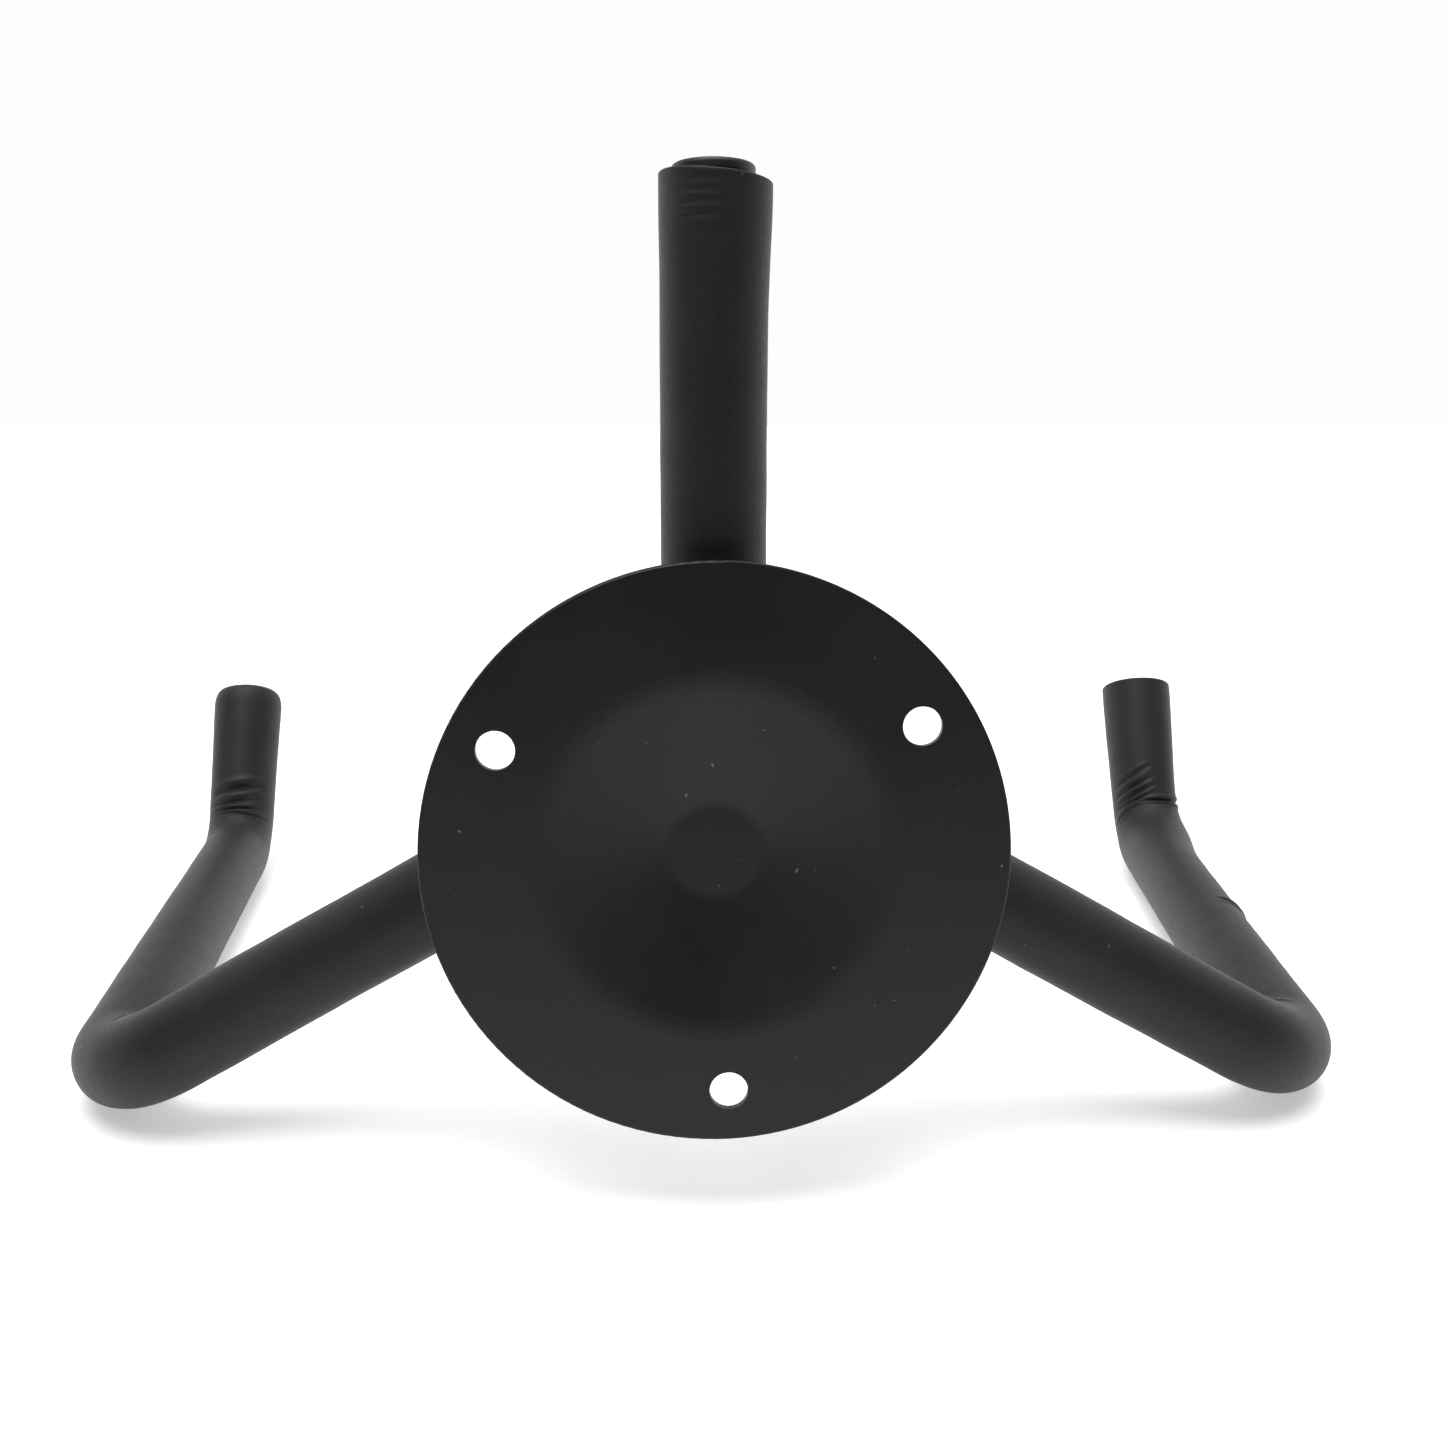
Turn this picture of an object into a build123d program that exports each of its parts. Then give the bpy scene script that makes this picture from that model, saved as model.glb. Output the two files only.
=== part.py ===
"""Wall guitar hanger: a dished steel wall plate, a padded upright and a bent, padded cradle bar.

The wall is the plane Y = 0 and the room lies on the -Y side, so +X is to the right for someone
in the room.  The origin is the centre of the three screw holes on the wall face of the plate.
"""
import os
from math import cos, radians, sin, tan

from build123d import *

os.makedirs("parts", exist_ok=True)

# Wall plate: a round pressed disc whose middle is dished away from the wall
plate_radius = 45.0
sheet_thickness = 1.3
dish_depth = 5.0
dish_mouth_radius = 27.0
dish_floor_radius = 7.5
dish_mouth_blend = 14.0
dish_floor_blend = 6.0
rim_break = 0.35

# Screw holes, evenly spaced round one circle on the flat flange
hole_count = 3
hole_radius = 3.0
hole_circle_radius = 37.0
first_hole_angle = 27.0

# Steel tube of the upright and the cradle bar
tube_radius = 6.35
tube_wall = 1.2
upright_bottom = -13.0
upright_top = 101.7

# Foam sleeves
foam_radius = 8.2
upright_foam_bottom = 21.0
upright_foam_top = 101.2
foam_start = 24.0
foam_tip_lip = 2.4
foam_edge = 0.6

# Cradle bar, right half: apex, elbow, front bend and tip, on the centre line
apex_height = 13.4
elbow_x = 107.0
elbow_out = 31.5
elbow_height = -47.9
bend_x = 122.5
bend_out = 170.5
bend_height = -38.5
tip_x = 123.5
tip_out = 188.1
tip_height = -0.9
apex_radius = 20.0
elbow_radius = 18.0
bend_radius = 17.0

# End plugs, pressed into the three open tube ends
plug_depth = 9.0
plug_clearance = 0.05
plug_head_height = 1.4
plug_head_edge = 0.7
plug_mouth_radius = 2.6
plug_mouth_depth = 6.5

# Weld beads, set into the corners beside the tube's contact lines
bead_radius = 3.4
bead_end_round = 1.5
bead_shift = 0.72 * tube_radius
plate_bead_lift = 0.4
plate_bead_reach = 9.0
cross_bead_reach = 4.5

tube_bore = tube_radius - tube_wall
upright_out = dish_depth + sheet_thickness + tube_radius
bar_out = upright_out + 2 * tube_radius


def screw_tool(radius, depth, x, z):
    """A cylinder along Y, centred on the wall plane, for cutting a screw hole."""
    return Pos(x, 0, z) * Rot(90, 0, 0) * Cylinder(radius, depth)


def bent_path(points, radii):
    """Straight runs joined by true arcs, one radius for each inner corner."""
    pieces = []
    start = points[0]
    for before, corner, after, radius in zip(points, points[1:], points[2:], radii):
        back = (before - corner).normalized()
        ahead = (after - corner).normalized()
        half_angle = radians(back.get_angle(ahead)) / 2
        reach = radius / tan(half_angle)
        middle_line = (back + ahead).normalized()
        arc_start = corner + back * reach
        arc_end = corner + ahead * reach
        arc_middle = corner + middle_line * (radius / sin(half_angle) - radius)
        pieces.append(Line(start, arc_start))
        pieces.append(ThreePointArc(arc_start, arc_middle, arc_end))
        start = arc_end
    pieces.append(Line(start, points[-1]))
    return Wire([edge for piece in pieces for edge in piece.edges()])


def swept_ring(path, outer, inner):
    """A hollow round section carried along a path."""
    ring = Plane(path @ 0, z_dir=path % 0) * (Circle(outer) - Circle(inner))
    return sweep(ring, path=path).solid()


def half_bar_points(side):
    """Corner points of the cradle bar from its apex out to one tip; side is +1 on the right."""
    return [
        Vector(0, -bar_out, apex_height),
        Vector(side * elbow_x, -elbow_out, elbow_height),
        Vector(side * bend_x, -bend_out, bend_height),
        Vector(side * tip_x, -tip_out, tip_height),
    ]


def tip_direction(side):
    """Unit vector along the upturned end, pointing out of the tube."""
    points = half_bar_points(side)
    return (points[3] - points[2]).normalized()


def wall_plate():
    """Dished disc with three screw holes through its flange."""
    wall_face = FilletPolyline(
        (0, -dish_depth),
        (dish_floor_radius, -dish_depth),
        (dish_mouth_radius, 0),
        (plate_radius, 0),
        radius=[dish_floor_blend, dish_mouth_blend],
    )
    room_face = Pos(0, -sheet_thickness) * wall_face
    axis_end = Line(room_face @ 0, wall_face @ 0)
    rim_end = Line(wall_face @ 1, room_face @ 1)
    profile = make_face([*wall_face.edges(), rim_end, *room_face.edges(), axis_end])
    plate = revolve(profile, axis=Axis.Y)
    rims = plate.edges().filter_by(GeomType.CIRCLE)
    rims = rims.filter_by(lambda edge: abs(edge.radius - plate_radius) < 0.01)
    plate = fillet(rims, rim_break)
    for index in range(hole_count):
        angle = radians(first_hole_angle + index * 360 / hole_count)
        x = hole_circle_radius * cos(angle)
        z = hole_circle_radius * sin(angle)
        plate -= screw_tool(hole_radius, 4 * sheet_thickness, x, z)
    return plate.solid()


def upright_tube():
    """Straight tube that stands on the plate and backs the guitar."""
    length = upright_top - upright_bottom
    middle = (upright_top + upright_bottom) / 2
    tube = Cylinder(tube_radius, length) - Cylinder(tube_bore, length)
    return (Pos(0, -upright_out, middle) * tube).solid()


def cradle_bar():
    """One tube bent into the V, the two elbows and the two upturned tips."""
    points = half_bar_points(-1)[:0:-1] + half_bar_points(1)
    radii = [bend_radius, elbow_radius, apex_radius, elbow_radius, bend_radius]
    return swept_ring(bent_path(points, radii), tube_radius, tube_bore)


def upright_sleeve():
    """Foam sleeve on the upright, ending just below the top of the tube."""
    length = upright_foam_top - upright_foam_bottom
    middle = (upright_foam_top + upright_foam_bottom) / 2
    foam = fillet(Cylinder(foam_radius, length).edges(), foam_edge)
    foam -= Cylinder(tube_radius, length)
    return (Pos(0, -upright_out, middle) * foam).solid()


def arm_sleeve(side):
    """Foam sleeve from beside the apex, round the elbow and the front bend, to the tip."""
    points = half_bar_points(side)
    outward = (points[1] - points[0]).normalized()
    start = points[0] + outward * foam_start
    end = points[3] + tip_direction(side) * foam_tip_lip
    path = bent_path([start, points[1], points[2], end], [elbow_radius, bend_radius])
    return swept_ring(path, foam_radius, tube_radius)


def end_plug():
    """Plug with a low domed head, its head resting on the plane Z = 0."""
    head = Pos(0, 0, plug_head_height / 2) * Cylinder(tube_radius, plug_head_height)
    top_edge = head.edges().sort_by(Axis.Z)[-1]
    head = fillet(top_edge, plug_head_edge)
    shank = Pos(0, 0, -plug_depth / 2) * Cylinder(tube_bore - plug_clearance, plug_depth)
    mouth_middle = plug_mouth_depth / 2 - plug_depth
    mouth = Pos(0, 0, mouth_middle) * Cylinder(plug_mouth_radius, plug_mouth_depth)
    return (head + shank - mouth).solid()


def upright_plug():
    """Plug in the top of the upright, standing just proud of the foam."""
    return Pos(0, -upright_out, upright_top) * end_plug()


def tip_plug(side):
    """Plug in one upturned tip."""
    tip = half_bar_points(side)[3]
    return Plane(tip, z_dir=tip_direction(side)) * end_plug()


def plate_weld(side, plate):
    """Bead that fills the corner between the upright and the dish on one side."""
    centre_x = side * bead_shift
    centre_out = dish_depth + sheet_thickness + plate_bead_lift
    bead = Cylinder(bead_radius, 2 * plate_bead_reach)
    bead = fillet(bead.edges(), bead_end_round)
    bead = Pos(centre_x, -centre_out, 0) * bead
    inside = Pos(0, -upright_out, 0) * Cylinder(tube_radius, 4 * plate_bead_reach)
    bead = bead - plate - inside
    return max(bead.solids(), key=lambda piece: -piece.center().Y)


def cross_weld(level, bar):
    """Bead between the upright and the cradle bar, above (+1) or below (-1) the apex."""
    apex_drop = apex_radius * (1 / cos(apex_half_turn()) - 1)
    centre_z = apex_height - apex_drop + level * bead_shift
    contact_out = upright_out + tube_radius
    bead = Rot(0, 90, 0) * Cylinder(bead_radius, 2 * cross_bead_reach)
    bead = fillet(bead.edges(), bead_end_round)
    bead = Pos(0, -contact_out, centre_z) * bead
    inside = Pos(0, -upright_out, centre_z) * Cylinder(tube_radius, 4 * bead_radius)
    bead = bead - inside - bar
    return max(bead.solids(), key=lambda piece: piece.volume)


def apex_half_turn():
    """Half of the angle through which the cradle bar turns at its apex."""
    apex, elbow = half_bar_points(1)[:2]
    return radians((elbow - apex).get_angle(Vector(1, 0, 0)))


def build():
    """Make every piece under its node name."""
    plate = wall_plate()
    bar = cradle_bar()
    return {
        "wall_plate": plate,
        "upright_tube": upright_tube(),
        "cradle_bar": bar,
        "upright_sleeve": upright_sleeve(),
        "arm_sleeve_left": arm_sleeve(-1),
        "arm_sleeve_right": arm_sleeve(1),
        "upright_plug": upright_plug(),
        "tip_plug_left": tip_plug(-1),
        "tip_plug_right": tip_plug(1),
        "plate_weld_left": plate_weld(-1, plate),
        "plate_weld_right": plate_weld(1, plate),
        "cross_weld_upper": cross_weld(1, bar),
        "cross_weld_lower": cross_weld(-1, bar),
    }


for node, shape in build().items():
    export_step(shape, f"parts/{node}.step")
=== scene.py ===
from bisect import bisect_left
from math import acos, atan2, ceil, cos, exp, pi, radians, sin, tan

import bmesh
import bpy
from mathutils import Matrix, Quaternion, Vector, noise


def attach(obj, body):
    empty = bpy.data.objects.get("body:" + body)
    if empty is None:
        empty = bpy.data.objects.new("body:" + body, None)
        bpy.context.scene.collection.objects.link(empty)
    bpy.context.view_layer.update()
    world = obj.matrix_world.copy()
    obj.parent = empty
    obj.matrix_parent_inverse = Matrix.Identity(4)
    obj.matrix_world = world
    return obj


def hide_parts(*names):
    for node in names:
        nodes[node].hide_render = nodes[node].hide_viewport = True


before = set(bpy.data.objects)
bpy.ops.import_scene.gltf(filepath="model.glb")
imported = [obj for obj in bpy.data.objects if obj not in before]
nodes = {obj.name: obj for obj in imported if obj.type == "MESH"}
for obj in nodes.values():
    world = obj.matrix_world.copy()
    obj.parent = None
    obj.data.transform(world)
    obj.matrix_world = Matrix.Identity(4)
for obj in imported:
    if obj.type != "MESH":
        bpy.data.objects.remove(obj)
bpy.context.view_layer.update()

MM = 0.001

# The sleeves' centre lines, as the tubes inside them run, in metres
TUBE_RADIUS = 6.35 * MM
FOAM_RADIUS = 8.2 * MM
APEX = Vector((0, -25.35, 13.4)) * MM
ELBOW = Vector((107, -31.5, -47.9)) * MM
BEND = Vector((122.5, -170.5, -38.5)) * MM
TIP = Vector((123.5, -188.1, -0.9)) * MM
ELBOW_RADIUS = 18 * MM
BEND_RADIUS = 17 * MM
FOAM_START = 24 * MM
TIP_LIP = 2.4 * MM
UPRIGHT_FOAM_BOTTOM = 21 * MM
UPRIGHT_FOAM_TOP = 101.2 * MM
UPRIGHT_OUT = 12.65 * MM

# Mesh density of the foam
RING_SEGMENTS = 112
RING_STEP = 0.45 * MM
BORE_STEP = 6 * MM
EDGE_RINGS = 5

# Ends of the sleeves
BORE_CLEARANCE = 0.04 * MM
CUT_EDGE = 0.4 * MM
UPRIGHT_EDGE = 0.35 * MM
FLARED_EDGE = 0.45 * MM
GATHERED_EDGE = 1.9 * MM
GATHERED_MOUTH = 5.1 * MM
GATHER_REACH = 5 * MM
LIP_DEPTH = 0.85 * MM
SLANT = 0.75 * MM
SLANT_REACH = 12 * MM

# Unevenness all along the sleeves
SLOW_WAVE = 0.14 * MM
SLOW_SCALE = 45
QUICK_WAVE = 0.05 * MM
QUICK_SCALE = 150
BEND_REACH = 0.75
BEND_SWELL = 0.25 * MM
BEND_SQUEEZE = 0.1 * MM

# Nick half way along the left arm, and foam bunched up below the kink at its tip
NICK_PLACE = 0.51
NICK_SIDE = Vector((-1, 0, 0.8))
NICK_DEPTH = 1.1 * MM
NICK_WIDTH = 0.6 * MM
NICK_SPREAD = 46
NICK_SKEW = 1.2 * MM
BUNCH_PLACE = 0.15
BUNCH_SIDE = Vector((-1, 0, 0.7))
BUNCH_HEIGHT = 1.9 * MM
BUNCH_WIDTH = 12 * MM
BUNCH_SPREAD = 80

# Fine wrinkles under the upright sleeve's top, by their distance from it in millimetres
WRINKLES = (1.8, 3.2, 4.8, 6.6)
WRINKLE_SIDE = Vector((0.5, 1, 0))
WRINKLE_DEPTH = 0.16 * MM
WRINKLE_WIDTH = 0.45 * MM
WRINKLE_SPREAD = 45
WRINKLE_SKEW = 0.3 * MM

# Folds inside the bends: arc angle back from the bend's end, angle round the tube from its inner
# side, depth, width, spread, skew and bow, in degrees and millimetres
RIGHT_TIP_FOLDS = [
    (-15, 0, 1.20, 0.85, 52, 1.2, -0.4),
    (-2, -6, 0.70, 0.55, 50, 1.0, 0.4),
    (8, 0, 0.70, 0.52, 54, 0.6, 0.6),
    (19, 20, 0.45, 0.60, 48, -0.4, 0.4),
]
LEFT_TIP_FOLDS = [
    (-22, -28, 0.65, 0.50, 40, 4.2, 0.0),
    (-11, -31, 0.80, 0.55, 43, 3.6, 0.0),
    (-4, -26, 0.90, 0.55, 42, 4.0, 0.0),
    (3, -31, 0.75, 0.55, 42, 3.6, 0.0),
    (18, -46, 0.45, 0.60, 44, 3.4, 0.0),
    (3, 38, 1.00, 0.60, 60, 0.8, 0.0),
]
ELBOW_FOLDS = [
    (28, 8, 0.80, 0.65, 66, 1.0, 0.6),
    (44, -6, 1.05, 0.70, 78, 0.4, 0.4),
    (60, 10, 0.85, 0.65, 66, -0.8, 0.4),
]

# Camera, in metres, degrees and millimetres of lens
CAMERA_PLACE = Vector((6.2, 215.6, 54.1)) * MM
CAMERA_YAW = 1.9
CAMERA_PITCH = 8.75
CAMERA_LENS = 36.45

# Table top
FLOOR_SIZE = 6.0
FLOOR_GAP = 0.1 * MM
FLOOR_GLOW = 0.42

# World: the wall behind the hanger is bright, the camera's side of the room is dim
BRIGHT_STRENGTH = 1.3
OVERHEAD_STRENGTH = 0.55
DIM_STRENGTH = 0.06
BACKDROP_STRENGTH = 0.985
BACKDROP_COLOUR = (1.0, 1.0, 0.985, 1)

# Lamps, and the black card behind the camera
SUN_DIRECTION = Vector((-0.05, -0.2, -1))
SUN_POWER = 2.5
SUN_SOFTNESS = 45
TIP_LIGHT_PLACE = Vector((0.25, 0.4, 0.53))
TIP_LIGHT_SIZE = 0.06
TIP_LIGHT_CONE = 8
TIP_LIGHT_POWER = 9.0
TIP_LIGHT_DROP = 0.012
FLAG_PLACE = 0.3
FLAG_HALF_WIDTH = 1.2
FLAG_BOTTOM = -0.2
FLAG_HEIGHT = 0.38


# ---------------------------------------------------------------- camera and stage

def new_object(name, data):
    """Object with that data, linked into the scene."""
    thing = bpy.data.objects.new(name, data)
    bpy.context.scene.collection.objects.link(thing)
    return thing


def aim(thing, direction):
    """Turn a camera or a lamp to look along a direction."""
    thing.rotation_mode = "QUATERNION"
    thing.rotation_quaternion = direction.to_track_quat("-Z", "Y")


def make_camera():
    """Camera behind the plate, a little above its middle, looking slightly down."""
    data = bpy.data.cameras.new("camera")
    data.lens = CAMERA_LENS
    data.sensor_width = 36
    data.clip_start = 0.01
    data.clip_end = 20
    camera = new_object("camera", data)
    yaw, pitch = radians(CAMERA_YAW), radians(CAMERA_PITCH)
    forward = Vector((-sin(yaw) * cos(pitch), -cos(yaw) * cos(pitch), -sin(pitch)))
    camera.location = CAMERA_PLACE
    aim(camera, forward)
    bpy.context.scene.camera = camera


def floor_tilt():
    """Tilt and height of a floor that touches the elbows and the front bends from below."""
    places = [v.co for v in nodes["arm_sleeve_right"].data.vertices]
    middle = (ELBOW.y + BEND.y) / 2
    near = [p for p in places if p.y > middle]
    far = [p for p in places if p.y <= middle]
    low, high = radians(-5), radians(15)
    for _ in range(30):
        tilt = (low + high) / 2
        near_height = min(p.z * cos(tilt) + p.y * sin(tilt) for p in near)
        far_height = min(p.z * cos(tilt) + p.y * sin(tilt) for p in far)
        if near_height < far_height:
            low = tilt
        else:
            high = tilt
    return tilt, near_height


def make_floor():
    """Wide pale table top under the hanger, tilted as the hanger stands on it."""
    tilt, height = floor_tilt()
    mesh = bpy.data.meshes.new("floor")
    shape = bmesh.new()
    bmesh.ops.create_grid(shape, x_segments=8, y_segments=8, size=FLOOR_SIZE)
    shape.to_mesh(mesh)
    shape.free()
    floor = new_object("floor", mesh)
    floor.rotation_euler = (-tilt, 0, 0)
    up = Vector((0, sin(tilt), cos(tilt)))
    floor.location = up * (height - FLOOR_GAP)
    floor.data.materials.append(floor_material())


# ---------------------------------------------------------------- materials


class Nodes:
    """Short-hand for building one material's node tree."""

    def __init__(self, name):
        self.material = bpy.data.materials.new(name)
        self.material.use_nodes = True
        self.tree = self.material.node_tree
        self.shader = self.tree.nodes["Principled BSDF"]
        self.place = self.add("ShaderNodeTexCoord").outputs["Object"]

    def add(self, kind, **settings):
        node = self.tree.nodes.new(kind)
        for key, value in settings.items():
            setattr(node, key, value)
        return node

    def link(self, source, target):
        self.tree.links.new(source, target)

    def noise(self, scale, detail=2.0, rough=0.5):
        node = self.add("ShaderNodeTexNoise")
        node.inputs["Scale"].default_value = scale
        node.inputs["Detail"].default_value = detail
        node.inputs["Roughness"].default_value = rough
        self.link(self.place, node.inputs["Vector"])
        return node.outputs["Fac"]

    def cells(self, scale):
        node = self.add("ShaderNodeTexVoronoi")
        node.inputs["Scale"].default_value = scale
        self.link(self.place, node.inputs["Vector"])
        return node.outputs["Distance"]

    def remap(self, value, low, high, new_low, new_high):
        node = self.add("ShaderNodeMapRange")
        self.link(value, node.inputs["Value"])
        node.inputs["From Min"].default_value = low
        node.inputs["From Max"].default_value = high
        node.inputs["To Min"].default_value = new_low
        node.inputs["To Max"].default_value = new_high
        return node.outputs["Result"]

    def blend(self, amount, first, second):
        node = self.add("ShaderNodeMix", data_type="RGBA")
        self.link(amount, node.inputs["Factor"])
        for socket, colour in ((node.inputs["A"], first), (node.inputs["B"], second)):
            if isinstance(colour, tuple):
                socket.default_value = (*colour, 1)
            else:
                self.link(colour, socket)
        return node.outputs["Result"]

    def bump(self, height, distance, strength, below=None):
        node = self.add("ShaderNodeBump")
        node.inputs["Distance"].default_value = distance
        node.inputs["Strength"].default_value = strength
        self.link(height, node.inputs["Height"])
        if below:
            self.link(below, node.inputs["Normal"])
        return node.outputs["Normal"]

    def set(self, **values):
        for key, value in values.items():
            self.shader.inputs[key.replace("_", " ")].default_value = value

    def drive(self, socket, source):
        self.link(source, self.shader.inputs[socket])


def foam_material():
    """Closed-cell foam: charcoal, dull, with a fine skin, scuffs and a few specks of dust."""
    m = Nodes("foam")
    broad = m.noise(60, 3)
    fine = m.noise(1400, 4, 0.65)
    pores = m.cells(2600)
    patches = m.remap(broad, 0.3, 0.7, 0, 1)
    tone = m.blend(patches, (0.0085, 0.0087, 0.0105), (0.0135, 0.0138, 0.0165))
    tone = m.blend(m.remap(fine, 0.55, 0.8, 0, 0.3), tone, (0.026, 0.027, 0.031))
    specks = m.remap(m.noise(900, 0), 0.88, 0.9, 0, 0.25)
    tone = m.blend(specks, tone, (0.2, 0.19, 0.18))
    m.drive("Base Color", tone)
    m.drive("Roughness", m.remap(fine, 0.3, 0.7, 0.5, 0.64))
    skin = m.bump(fine, 0.05 * MM, 0.6)
    m.drive("Normal", m.bump(pores, 0.03 * MM, 0.5, skin))
    m.set(Sheen_Weight=0.06, Sheen_Roughness=0.5, Specular_IOR_Level=0.28)
    return m.material


def powder_coat_material(name, rough_low, rough_high):
    """Satin black powder coat: fine grain over a soft orange-peel, with dust specks."""
    m = Nodes(name)
    grain = m.noise(3800, 2, 0.6)
    peel = m.noise(700, 2)
    broad = m.noise(40, 3)
    patches = m.remap(broad, 0.3, 0.7, 0, 1)
    tone = m.blend(patches, (0.0065, 0.0065, 0.007), (0.0095, 0.0095, 0.0102))
    specks = m.remap(m.noise(1000, 0), 0.87, 0.89, 0, 0.4)
    tone = m.blend(specks, tone, (0.3, 0.27, 0.25))
    m.drive("Base Color", tone)
    m.drive("Roughness", m.remap(broad, 0.3, 0.7, rough_low, rough_high))
    coat = m.bump(peel, 0.03 * MM, 0.5)
    m.drive("Normal", m.bump(grain, 0.03 * MM, 0.6, coat))
    m.set(Specular_IOR_Level=0.33)
    return m.material


def plug_material():
    """Matte black moulded plastic with a fine spark texture."""
    m = Nodes("plug_plastic")
    spark = m.noise(4200, 2, 0.7)
    broad = m.noise(180, 2)
    tone = m.blend(broad, (0.012, 0.012, 0.013), (0.02, 0.02, 0.021))
    m.drive("Base Color", tone)
    m.drive("Roughness", m.remap(broad, 0.3, 0.7, 0.42, 0.55))
    m.drive("Normal", m.bump(spark, 0.02 * MM, 0.5))
    return m.material


def floor_material():
    """Plain white table top, lit a little from below so that only close shadows show."""
    m = Nodes("floor")
    m.drive("Base Color", m.blend(m.noise(3, 2), (0.86, 0.86, 0.86), (0.88, 0.88, 0.87)))
    m.set(Roughness=0.7, Specular_IOR_Level=0.2)
    m.set(Emission_Color=(1, 1, 1, 1), Emission_Strength=FLOOR_GLOW)
    return m.material


# ---------------------------------------------------------------- foam sleeves


class Route:
    """Centre line of straight runs and arcs, sampled evenly, with a frame that doesn't twist."""

    def __init__(self, points, radii, step):
        self.places = [points[0].copy()]
        self.tangents = [(points[1] - points[0]).normalized()]
        self.bends = []
        start = points[0]
        length = 0.0
        for before, corner, after, radius in zip(points, points[1:], points[2:], radii):
            back = (before - corner).normalized()
            ahead = (after - corner).normalized()
            half = acos(max(-1, min(1, back.dot(ahead)))) / 2
            reach = radius / tan(half)
            inward = (back + ahead).normalized()
            centre = corner + inward * (radius / sin(half))
            length += self._run(start, corner + back * reach, step)
            turn = pi - 2 * half
            self.bends.append((length, length + radius * turn, centre, inward))
            length += self._arc(corner + back * reach, centre, -back, ahead, turn, radius, step)
            start = corner + ahead * reach
        length += self._run(start, points[-1], step)
        self.length = length
        self._frames()

    def _run(self, start, end, step):
        span = (end - start).length
        count = max(1, ceil(span / step))
        direction = (end - start).normalized()
        for i in range(1, count + 1):
            self.places.append(start.lerp(end, i / count))
            self.tangents.append(direction)
        return span

    def _arc(self, start, centre, heading, ahead, turn, radius, step):
        axis = heading.cross(ahead).normalized()
        count = max(4, ceil(radius * turn / step))
        for i in range(1, count + 1):
            spin = Quaternion(axis, turn * i / count)
            self.places.append(centre + spin @ (start - centre))
            self.tangents.append((spin @ heading).normalized())
        return radius * turn

    def _frames(self):
        first = self.tangents[0]
        helper = Vector((0, 0, 1)) if abs(first.z) < 0.9 else Vector((0, 1, 0))
        across = (helper - first * helper.dot(first)).normalized()
        self.across = [across]
        self.along = [0.0]
        for i in range(1, len(self.places)):
            turn = self.tangents[i - 1].rotation_difference(self.tangents[i])
            across = (turn @ across).normalized()
            self.across.append(across)
            self.along.append(self.along[-1] + (self.places[i] - self.places[i - 1]).length)

    def angle_of(self, index, direction):
        """Angle of a direction in the ring at that index."""
        side = self.tangents[index].cross(self.across[index])
        return atan2(direction.dot(side), direction.dot(self.across[index]))

    def index_at(self, distance):
        """Index of the sample nearest to that distance along the route."""
        after = bisect_left(self.along, distance)
        nearby = range(max(0, after - 1), min(len(self.along), after + 1))
        return min(nearby, key=lambda i: abs(self.along[i] - distance))

    def nearest_to(self, place):
        """Index of the sample nearest to a place."""
        return min(range(len(self.places)), key=lambda i: (self.places[i] - place).length)

    def point(self, index, angle, radius):
        """Place on the ring of that radius round the sample."""
        side = self.tangents[index].cross(self.across[index])
        return self.places[index] + (self.across[index] * cos(angle) + side * sin(angle)) * radius


def wrap(angle):
    """The same angle between -pi and pi."""
    return (angle + pi) % (2 * pi) - pi


class Fold:
    """One crease across a sleeve: a narrow valley with a soft roll on both sides.

    Each roll is a share of the depth. With a negative depth and no roll it is a bulge.
    """

    REACH = 6
    FADE = 1.3
    ROLL_PLACE = 2.1
    ROLL_WIDTH = 1.1

    def __init__(self, along, angle, depth, width, spread, skew=0.0, bow=0.0, roll=0.5):
        self.along = along
        self.angle = angle
        self.depth = depth
        self.width = width
        self.spread = spread
        self.skew = skew
        self.bow = bow
        self.roll = roll

    def height(self, along, angle):
        """How much the crease raises the surface there."""
        off = wrap(angle - self.angle)
        if abs(off) > self.spread:
            return 0.0
        line = self.along + self.skew * off + self.bow * off * off
        u = abs(along - line) / self.width
        if u > self.REACH:
            return 0.0
        fade = cos(off / self.spread * pi / 2) ** self.FADE
        roll = self.roll * exp(-(((u - self.ROLL_PLACE) / self.ROLL_WIDTH) ** 2))
        return self.depth * fade * (roll - exp(-u * u))


def closed_skin(name, rings):
    """Mesh object through a loop of rings, where the last one joins the first."""
    points = [p for ring in rings for p in ring]
    faces = []
    total = len(rings)
    for i in range(total):
        here, ahead = i * RING_SEGMENTS, (i + 1) % total * RING_SEGMENTS
        for k in range(RING_SEGMENTS):
            after = (k + 1) % RING_SEGMENTS
            faces.append((here + k, here + after, ahead + after, ahead + k))
    mesh = bpy.data.meshes.new(name)
    mesh.from_pydata(points, [], faces)
    mesh.polygons.foreach_set("use_smooth", [True] * len(mesh.polygons))
    mesh.update()
    return new_object(name, mesh)


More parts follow.
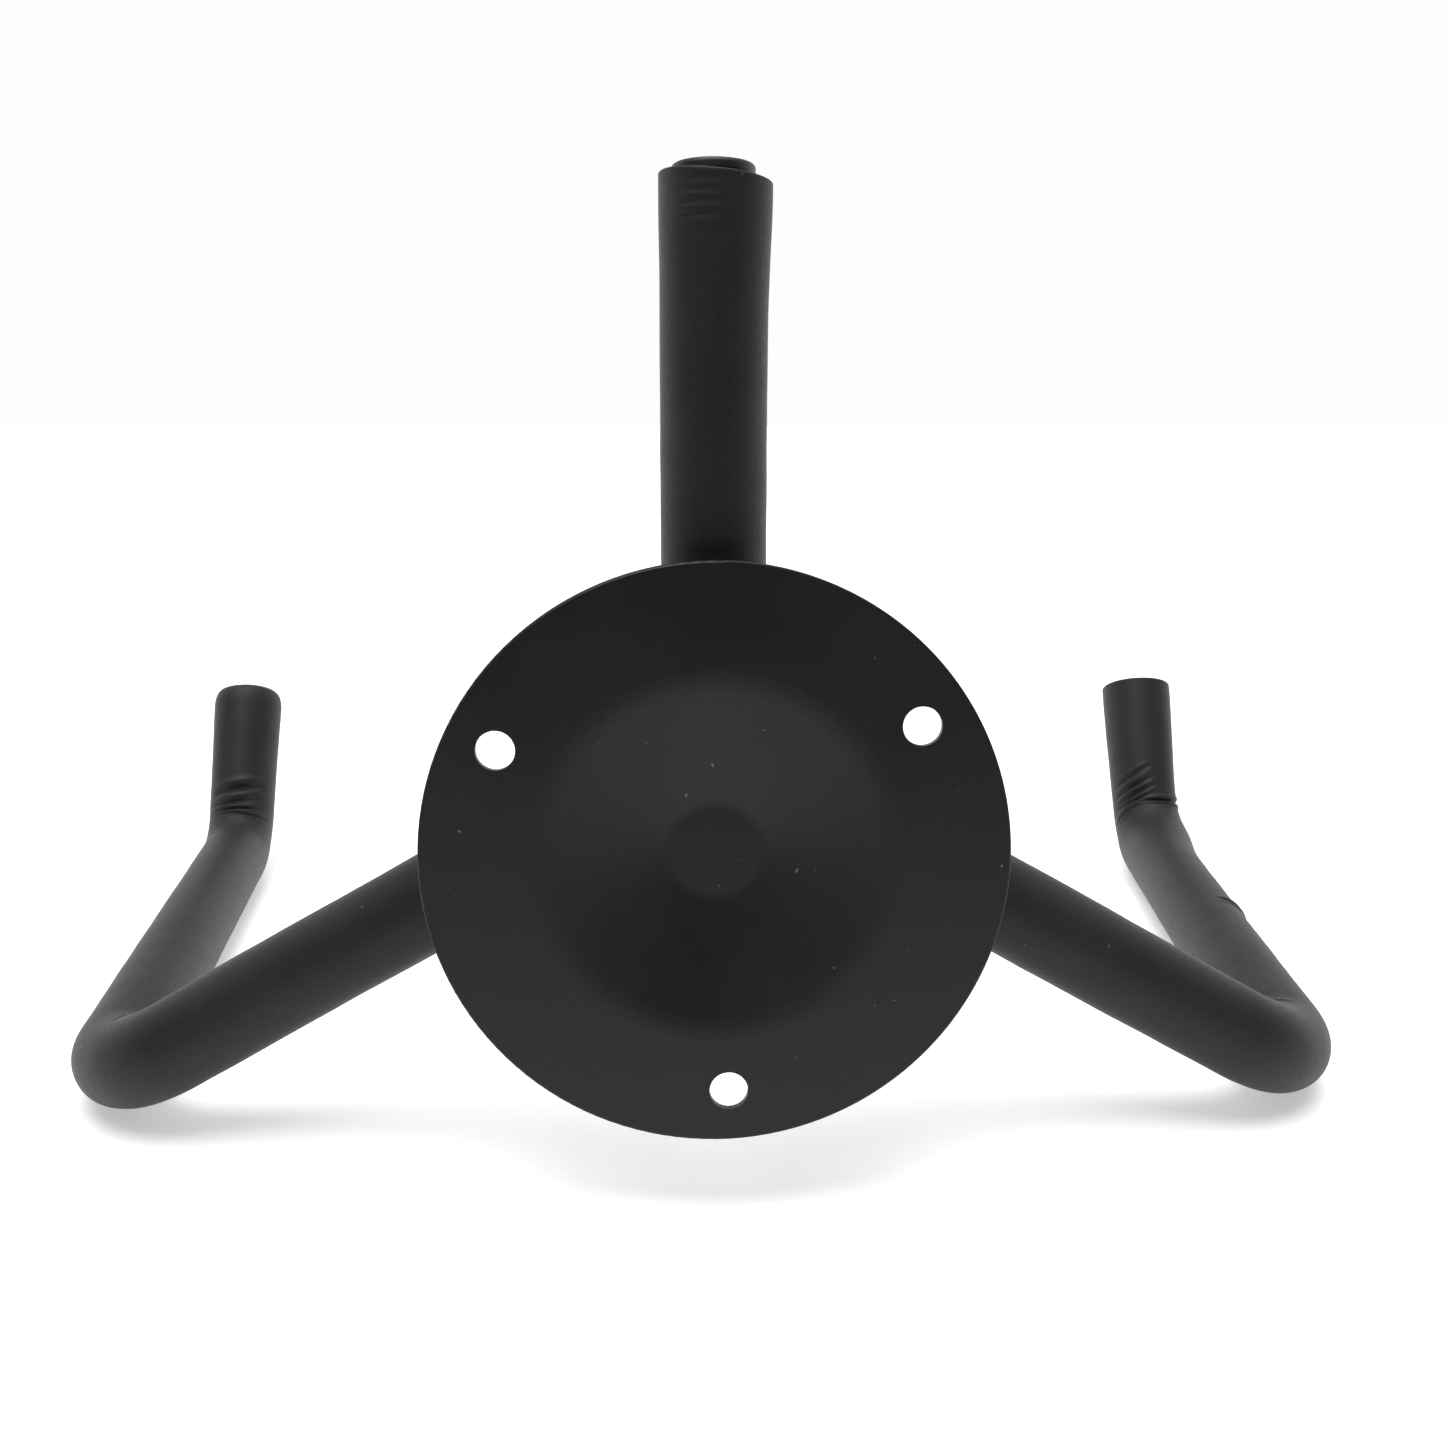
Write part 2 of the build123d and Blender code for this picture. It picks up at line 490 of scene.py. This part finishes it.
def sleeve(name, node, route, folds, shape, edge, slant=None, mouth=None):
    """Foam sleeve round a route: creased outside, with rounded ends and a bore.

    slant is (direction, amount): the last end is cut so that it reaches further on that side.
    mouth is the smaller radius of the bore in the lip past the tube, where the end is gathered in.
    """
    angles = [2 * pi * k / RING_SEGMENTS for k in range(RING_SEGMENTS)]

    def moved(along, angle, radius):
        index = route.index_at(along)
        place = route.point(index, angle, radius)
        place = place + route.tangents[index] * (along - route.along[index])
        if slant:
            direction, amount = slant
            near = max(0.0, 1 - (route.length - along) / SLANT_REACH)
            facing = cos(angle - route.angle_of(index, direction))
            place = place + route.tangents[index] * (amount * facing * near)
        return place

    def outer(along, drop=0.0):
        index = route.index_at(along)
        ring = []
        for angle in angles:
            height = shape(route, index, angle)
            height += sum(fold.height(along, angle) for fold in folds)
            ring.append(moved(along, angle, FOAM_RADIUS + height - drop))
        return ring

    def inner(along, radius):
        return [moved(along, angle, radius) for angle in angles]

    rings = []
    for i in range(EDGE_RINGS):
        turn = pi / 2 * i / EDGE_RINGS
        rings.append(outer(CUT_EDGE * (1 - cos(turn)), CUT_EDGE * (1 - sin(turn))))
    rings.extend(outer(along) for along in route.along if CUT_EDGE < along < route.length - edge)
    for i in range(EDGE_RINGS + 1):
        turn = pi / 2 * i / EDGE_RINGS
        rings.append(outer(route.length - edge * (1 - sin(turn)), edge * (1 - cos(turn))))
    bore_length = route.length
    if mouth:
        bore_length -= LIP_DEPTH
        rings.append(inner(route.length, mouth))
        rings.append(inner(bore_length, mouth))
    steps = ceil(bore_length / BORE_STEP)
    for i in range(steps, -1, -1):
        rings.append(inner(bore_length * i / steps, TUBE_RADIUS + BORE_CLEARANCE))

    thing = closed_skin(name, rings)
    thing.data.materials.append(foam)
    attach(thing, "root")
    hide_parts(node)


def soft_shape(seed, flare, flare_reach, flare_side=None, gather=0.0):
    """Unevenness of a sleeve: waves, a change at each bend, and its cut end flared or gathered."""
    shift = Vector((seed * 3.7, seed * 1.3, seed * 2.1))

    def height(route, index, angle):
        place = route.point(index, angle, FOAM_RADIUS)
        total = noise.noise(place * SLOW_SCALE + shift) * SLOW_WAVE
        total += noise.noise(place * QUICK_SCALE + shift) * QUICK_WAVE
        along = route.along[index]
        for start, end, centre, _ in route.bends:
            near = max(0.0, 1 - abs(along - (start + end) / 2) / ((end - start) * BEND_REACH))
            if near:
                inward = (centre - route.places[index]).normalized()
                facing = cos(angle - route.angle_of(index, inward))
                total += near * near * (BEND_SWELL * facing - BEND_SQUEEZE)
        left = route.length - along
        side = 1.0
        if flare_side:
            side = max(0.0, cos(angle - route.angle_of(index, flare_side)))
        total += flare * side * exp(-((left / flare_reach) ** 2))
        total -= gather * max(0.0, 1 - left / GATHER_REACH) ** 2
        return total

    return height


def bend_folds(route, bend, radius, specs):
    """Folds on the inside of a bend, from one of the lists of folds above."""
    start, end, _, inward = route.bends[bend]
    inner = route.angle_of(route.index_at((start + end) / 2), inward)
    folds = []
    for back, round_angle, depth, width, spread, skew, bow in specs:
        along = end - radius * radians(back)
        angle = inner + radians(round_angle)
        size = (depth * MM, width * MM, radians(spread), skew * MM, bow * MM)
        folds.append(Fold(along, angle, *size))
    return folds


def nick(route, place):
    """Small cut across the sleeve at a place on its centre line."""
    index = route.nearest_to(place)
    angle = route.angle_of(index, NICK_SIDE)
    return Fold(route.along[index], angle, NICK_DEPTH, NICK_WIDTH, radians(NICK_SPREAD), NICK_SKEW)


def bunched_foam(route):
    """Bulge where the sleeve is pushed up below the kink, on the outer side of the front bend."""
    start, end, _, _ = route.bends[1]
    place = start + BUNCH_PLACE * (end - start)
    angle = route.angle_of(route.index_at(place), BUNCH_SIDE)
    return Fold(place, angle, -BUNCH_HEIGHT, BUNCH_WIDTH, radians(BUNCH_SPREAD), roll=0.0)


def arm_route(side):
    """Centre line of one arm's sleeve; side is +1 on the right and -1 on the left."""
    mirror = Vector((side, 1, 1))
    apex, elbow, bend, tip = (p * mirror for p in (APEX, ELBOW, BEND, TIP))
    start = apex + (elbow - apex).normalized() * FOAM_START
    end = tip + (tip - bend).normalized() * TIP_LIP
    return Route([start, elbow, bend, end], [ELBOW_RADIUS, BEND_RADIUS], RING_STEP)


def right_arm_sleeve():
    """Sleeve of the right arm, with its end gathered in over the tube."""
    route = arm_route(1)
    folds = bend_folds(route, 1, BEND_RADIUS, RIGHT_TIP_FOLDS)
    folds += bend_folds(route, 0, ELBOW_RADIUS, ELBOW_FOLDS)
    shape = soft_shape(1, 0.6 * MM, 20 * MM, gather=1.3 * MM)
    end = (GATHERED_EDGE, None, GATHERED_MOUTH)
    sleeve("arm_foam_right", "arm_sleeve_right", route, folds, shape, *end)


def left_arm_sleeve():
    """Sleeve of the left arm, kinked at the front bend, nicked, and flared at its end."""
    route = arm_route(-1)
    folds = bend_folds(route, 1, BEND_RADIUS, LEFT_TIP_FOLDS)
    folds += bend_folds(route, 0, ELBOW_RADIUS, ELBOW_FOLDS)
    mirror = Vector((-1, 1, 1))
    folds.append(nick(route, (ELBOW * mirror).lerp(BEND * mirror, NICK_PLACE)))
    folds.append(bunched_foam(route))
    shape = soft_shape(2, 0.9 * MM, 25 * MM)
    sleeve("arm_foam_left", "arm_sleeve_left", route, folds, shape, FLARED_EDGE)


def upright_sleeve():
    """Straight sleeve of the upright, with a few fine wrinkles under its slanted top."""
    bottom = Vector((0, -UPRIGHT_OUT, UPRIGHT_FOAM_BOTTOM))
    top = Vector((0, -UPRIGHT_OUT, UPRIGHT_FOAM_TOP))
    route = Route([bottom, top], [], RING_STEP)
    facing = route.angle_of(0, WRINKLE_SIDE)
    size = (WRINKLE_DEPTH, WRINKLE_WIDTH, radians(WRINKLE_SPREAD), WRINKLE_SKEW)
    folds = [Fold(route.length - below * MM, facing, *size) for below in WRINKLES]
    shape = soft_shape(3, 0.7 * MM, 14 * MM, Vector((-1, 0, 0)))
    slant = (Vector((1, 0, 0)), SLANT)
    sleeve("upright_foam", "upright_sleeve", route, folds, shape, UPRIGHT_EDGE, slant)


# ---------------------------------------------------------------- light


def make_sun():
    """Broad soft light from overhead."""
    data = bpy.data.lights.new("overhead", "SUN")
    data.energy = SUN_POWER
    data.angle = radians(SUN_SOFTNESS)
    aim(new_object("overhead", data), SUN_DIRECTION)


def make_world():
    """Bright wall behind the hanger, softer ceiling, and a dim room on the camera's side.

    The camera itself sees one even backdrop.
    """
    world = bpy.data.worlds.new("world")
    bpy.context.scene.world = world
    world.use_nodes = True
    tree = world.node_tree
    sky = tree.nodes["Background"]
    coords = tree.nodes.new("ShaderNodeTexCoord")
    split = tree.nodes.new("ShaderNodeSeparateXYZ")
    tree.links.new(coords.outputs["Generated"], split.inputs["Vector"])

    def fade(source, low, high, start, end):
        node = tree.nodes.new("ShaderNodeMapRange")
        node.interpolation_type = "SMOOTHSTEP"
        node.inputs["From Min"].default_value = low
        node.inputs["From Max"].default_value = high
        for socket, value in ((node.inputs["To Min"], start), (node.inputs["To Max"], end)):
            if isinstance(value, float):
                socket.default_value = value
            else:
                tree.links.new(value, socket)
        tree.links.new(source, node.inputs["Value"])
        return node.outputs["Result"]

    wall = fade(split.outputs["Y"], -0.5, 0.3, BRIGHT_STRENGTH, DIM_STRENGTH)
    room = fade(split.outputs["Z"], 0.25, 0.75, wall, OVERHEAD_STRENGTH)
    path = tree.nodes.new("ShaderNodeLightPath")
    pick = tree.nodes.new("ShaderNodeMix")
    pick.data_type = "FLOAT"
    tree.links.new(path.outputs["Is Camera Ray"], pick.inputs["Factor"])
    tree.links.new(room, pick.inputs["A"])
    pick.inputs["B"].default_value = BACKDROP_STRENGTH
    sky.inputs["Color"].default_value = BACKDROP_COLOUR
    tree.links.new(pick.outputs["Result"], sky.inputs["Strength"])


def make_flag():
    """Black card behind the camera that no view sees; it keeps the steel's reflections dark."""
    mesh = bpy.data.meshes.new("flag")
    side, low, top = FLAG_HALF_WIDTH, FLAG_BOTTOM, FLAG_HEIGHT
    corners = [(-side, 0, low), (side, 0, low), (side, 0, top), (-side, 0, top)]
    mesh.from_pydata(corners, [], [(0, 1, 2, 3)])
    flag = new_object("flag", mesh)
    flag.location = (0, FLAG_PLACE, 0)
    cloth = Nodes("flag")
    cloth.set(Base_Color=(0.01, 0.01, 0.01, 1), Roughness=1.0, Specular_IOR_Level=0.0)
    flag.data.materials.append(cloth.material)
    flag.visible_camera = False
    flag.visible_shadow = False


def tip_light(side):
    """Small soft spot high behind the camera, for the streak down one upturned tip."""
    data = bpy.data.lights.new("tip_light", "SPOT")
    data.energy = TIP_LIGHT_POWER
    data.shadow_soft_size = TIP_LIGHT_SIZE
    data.spot_size = radians(TIP_LIGHT_CONE)
    data.spot_blend = 0.6
    light = new_object("tip_light", data)
    light.location = TIP_LIGHT_PLACE
    target = TIP * Vector((side, 1, 1)) - Vector((0, 0, TIP_LIGHT_DROP))
    aim(light, target - TIP_LIGHT_PLACE)
    light.visible_camera = False


# ---------------------------------------------------------------- assembly

scene = bpy.context.scene
scene.view_settings.view_transform = "Standard"
scene.view_settings.look = "None"

make_camera()
make_world()
make_flag()
tip_light(1)
tip_light(-1)
make_sun()
make_floor()

foam = foam_material()
plate_coat = powder_coat_material("plate_coat", 0.42, 0.52)
tube_coat = powder_coat_material("tube_coat", 0.36, 0.46)
plug_plastic = plug_material()

for node_name, thing in nodes.items():
    if "plug" in node_name:
        skin = plug_plastic
    elif node_name == "wall_plate":
        skin = plate_coat
    else:
        skin = tube_coat
    thing.data.materials.clear()
    thing.data.materials.append(skin)

right_arm_sleeve()
left_arm_sleeve()
upright_sleeve()
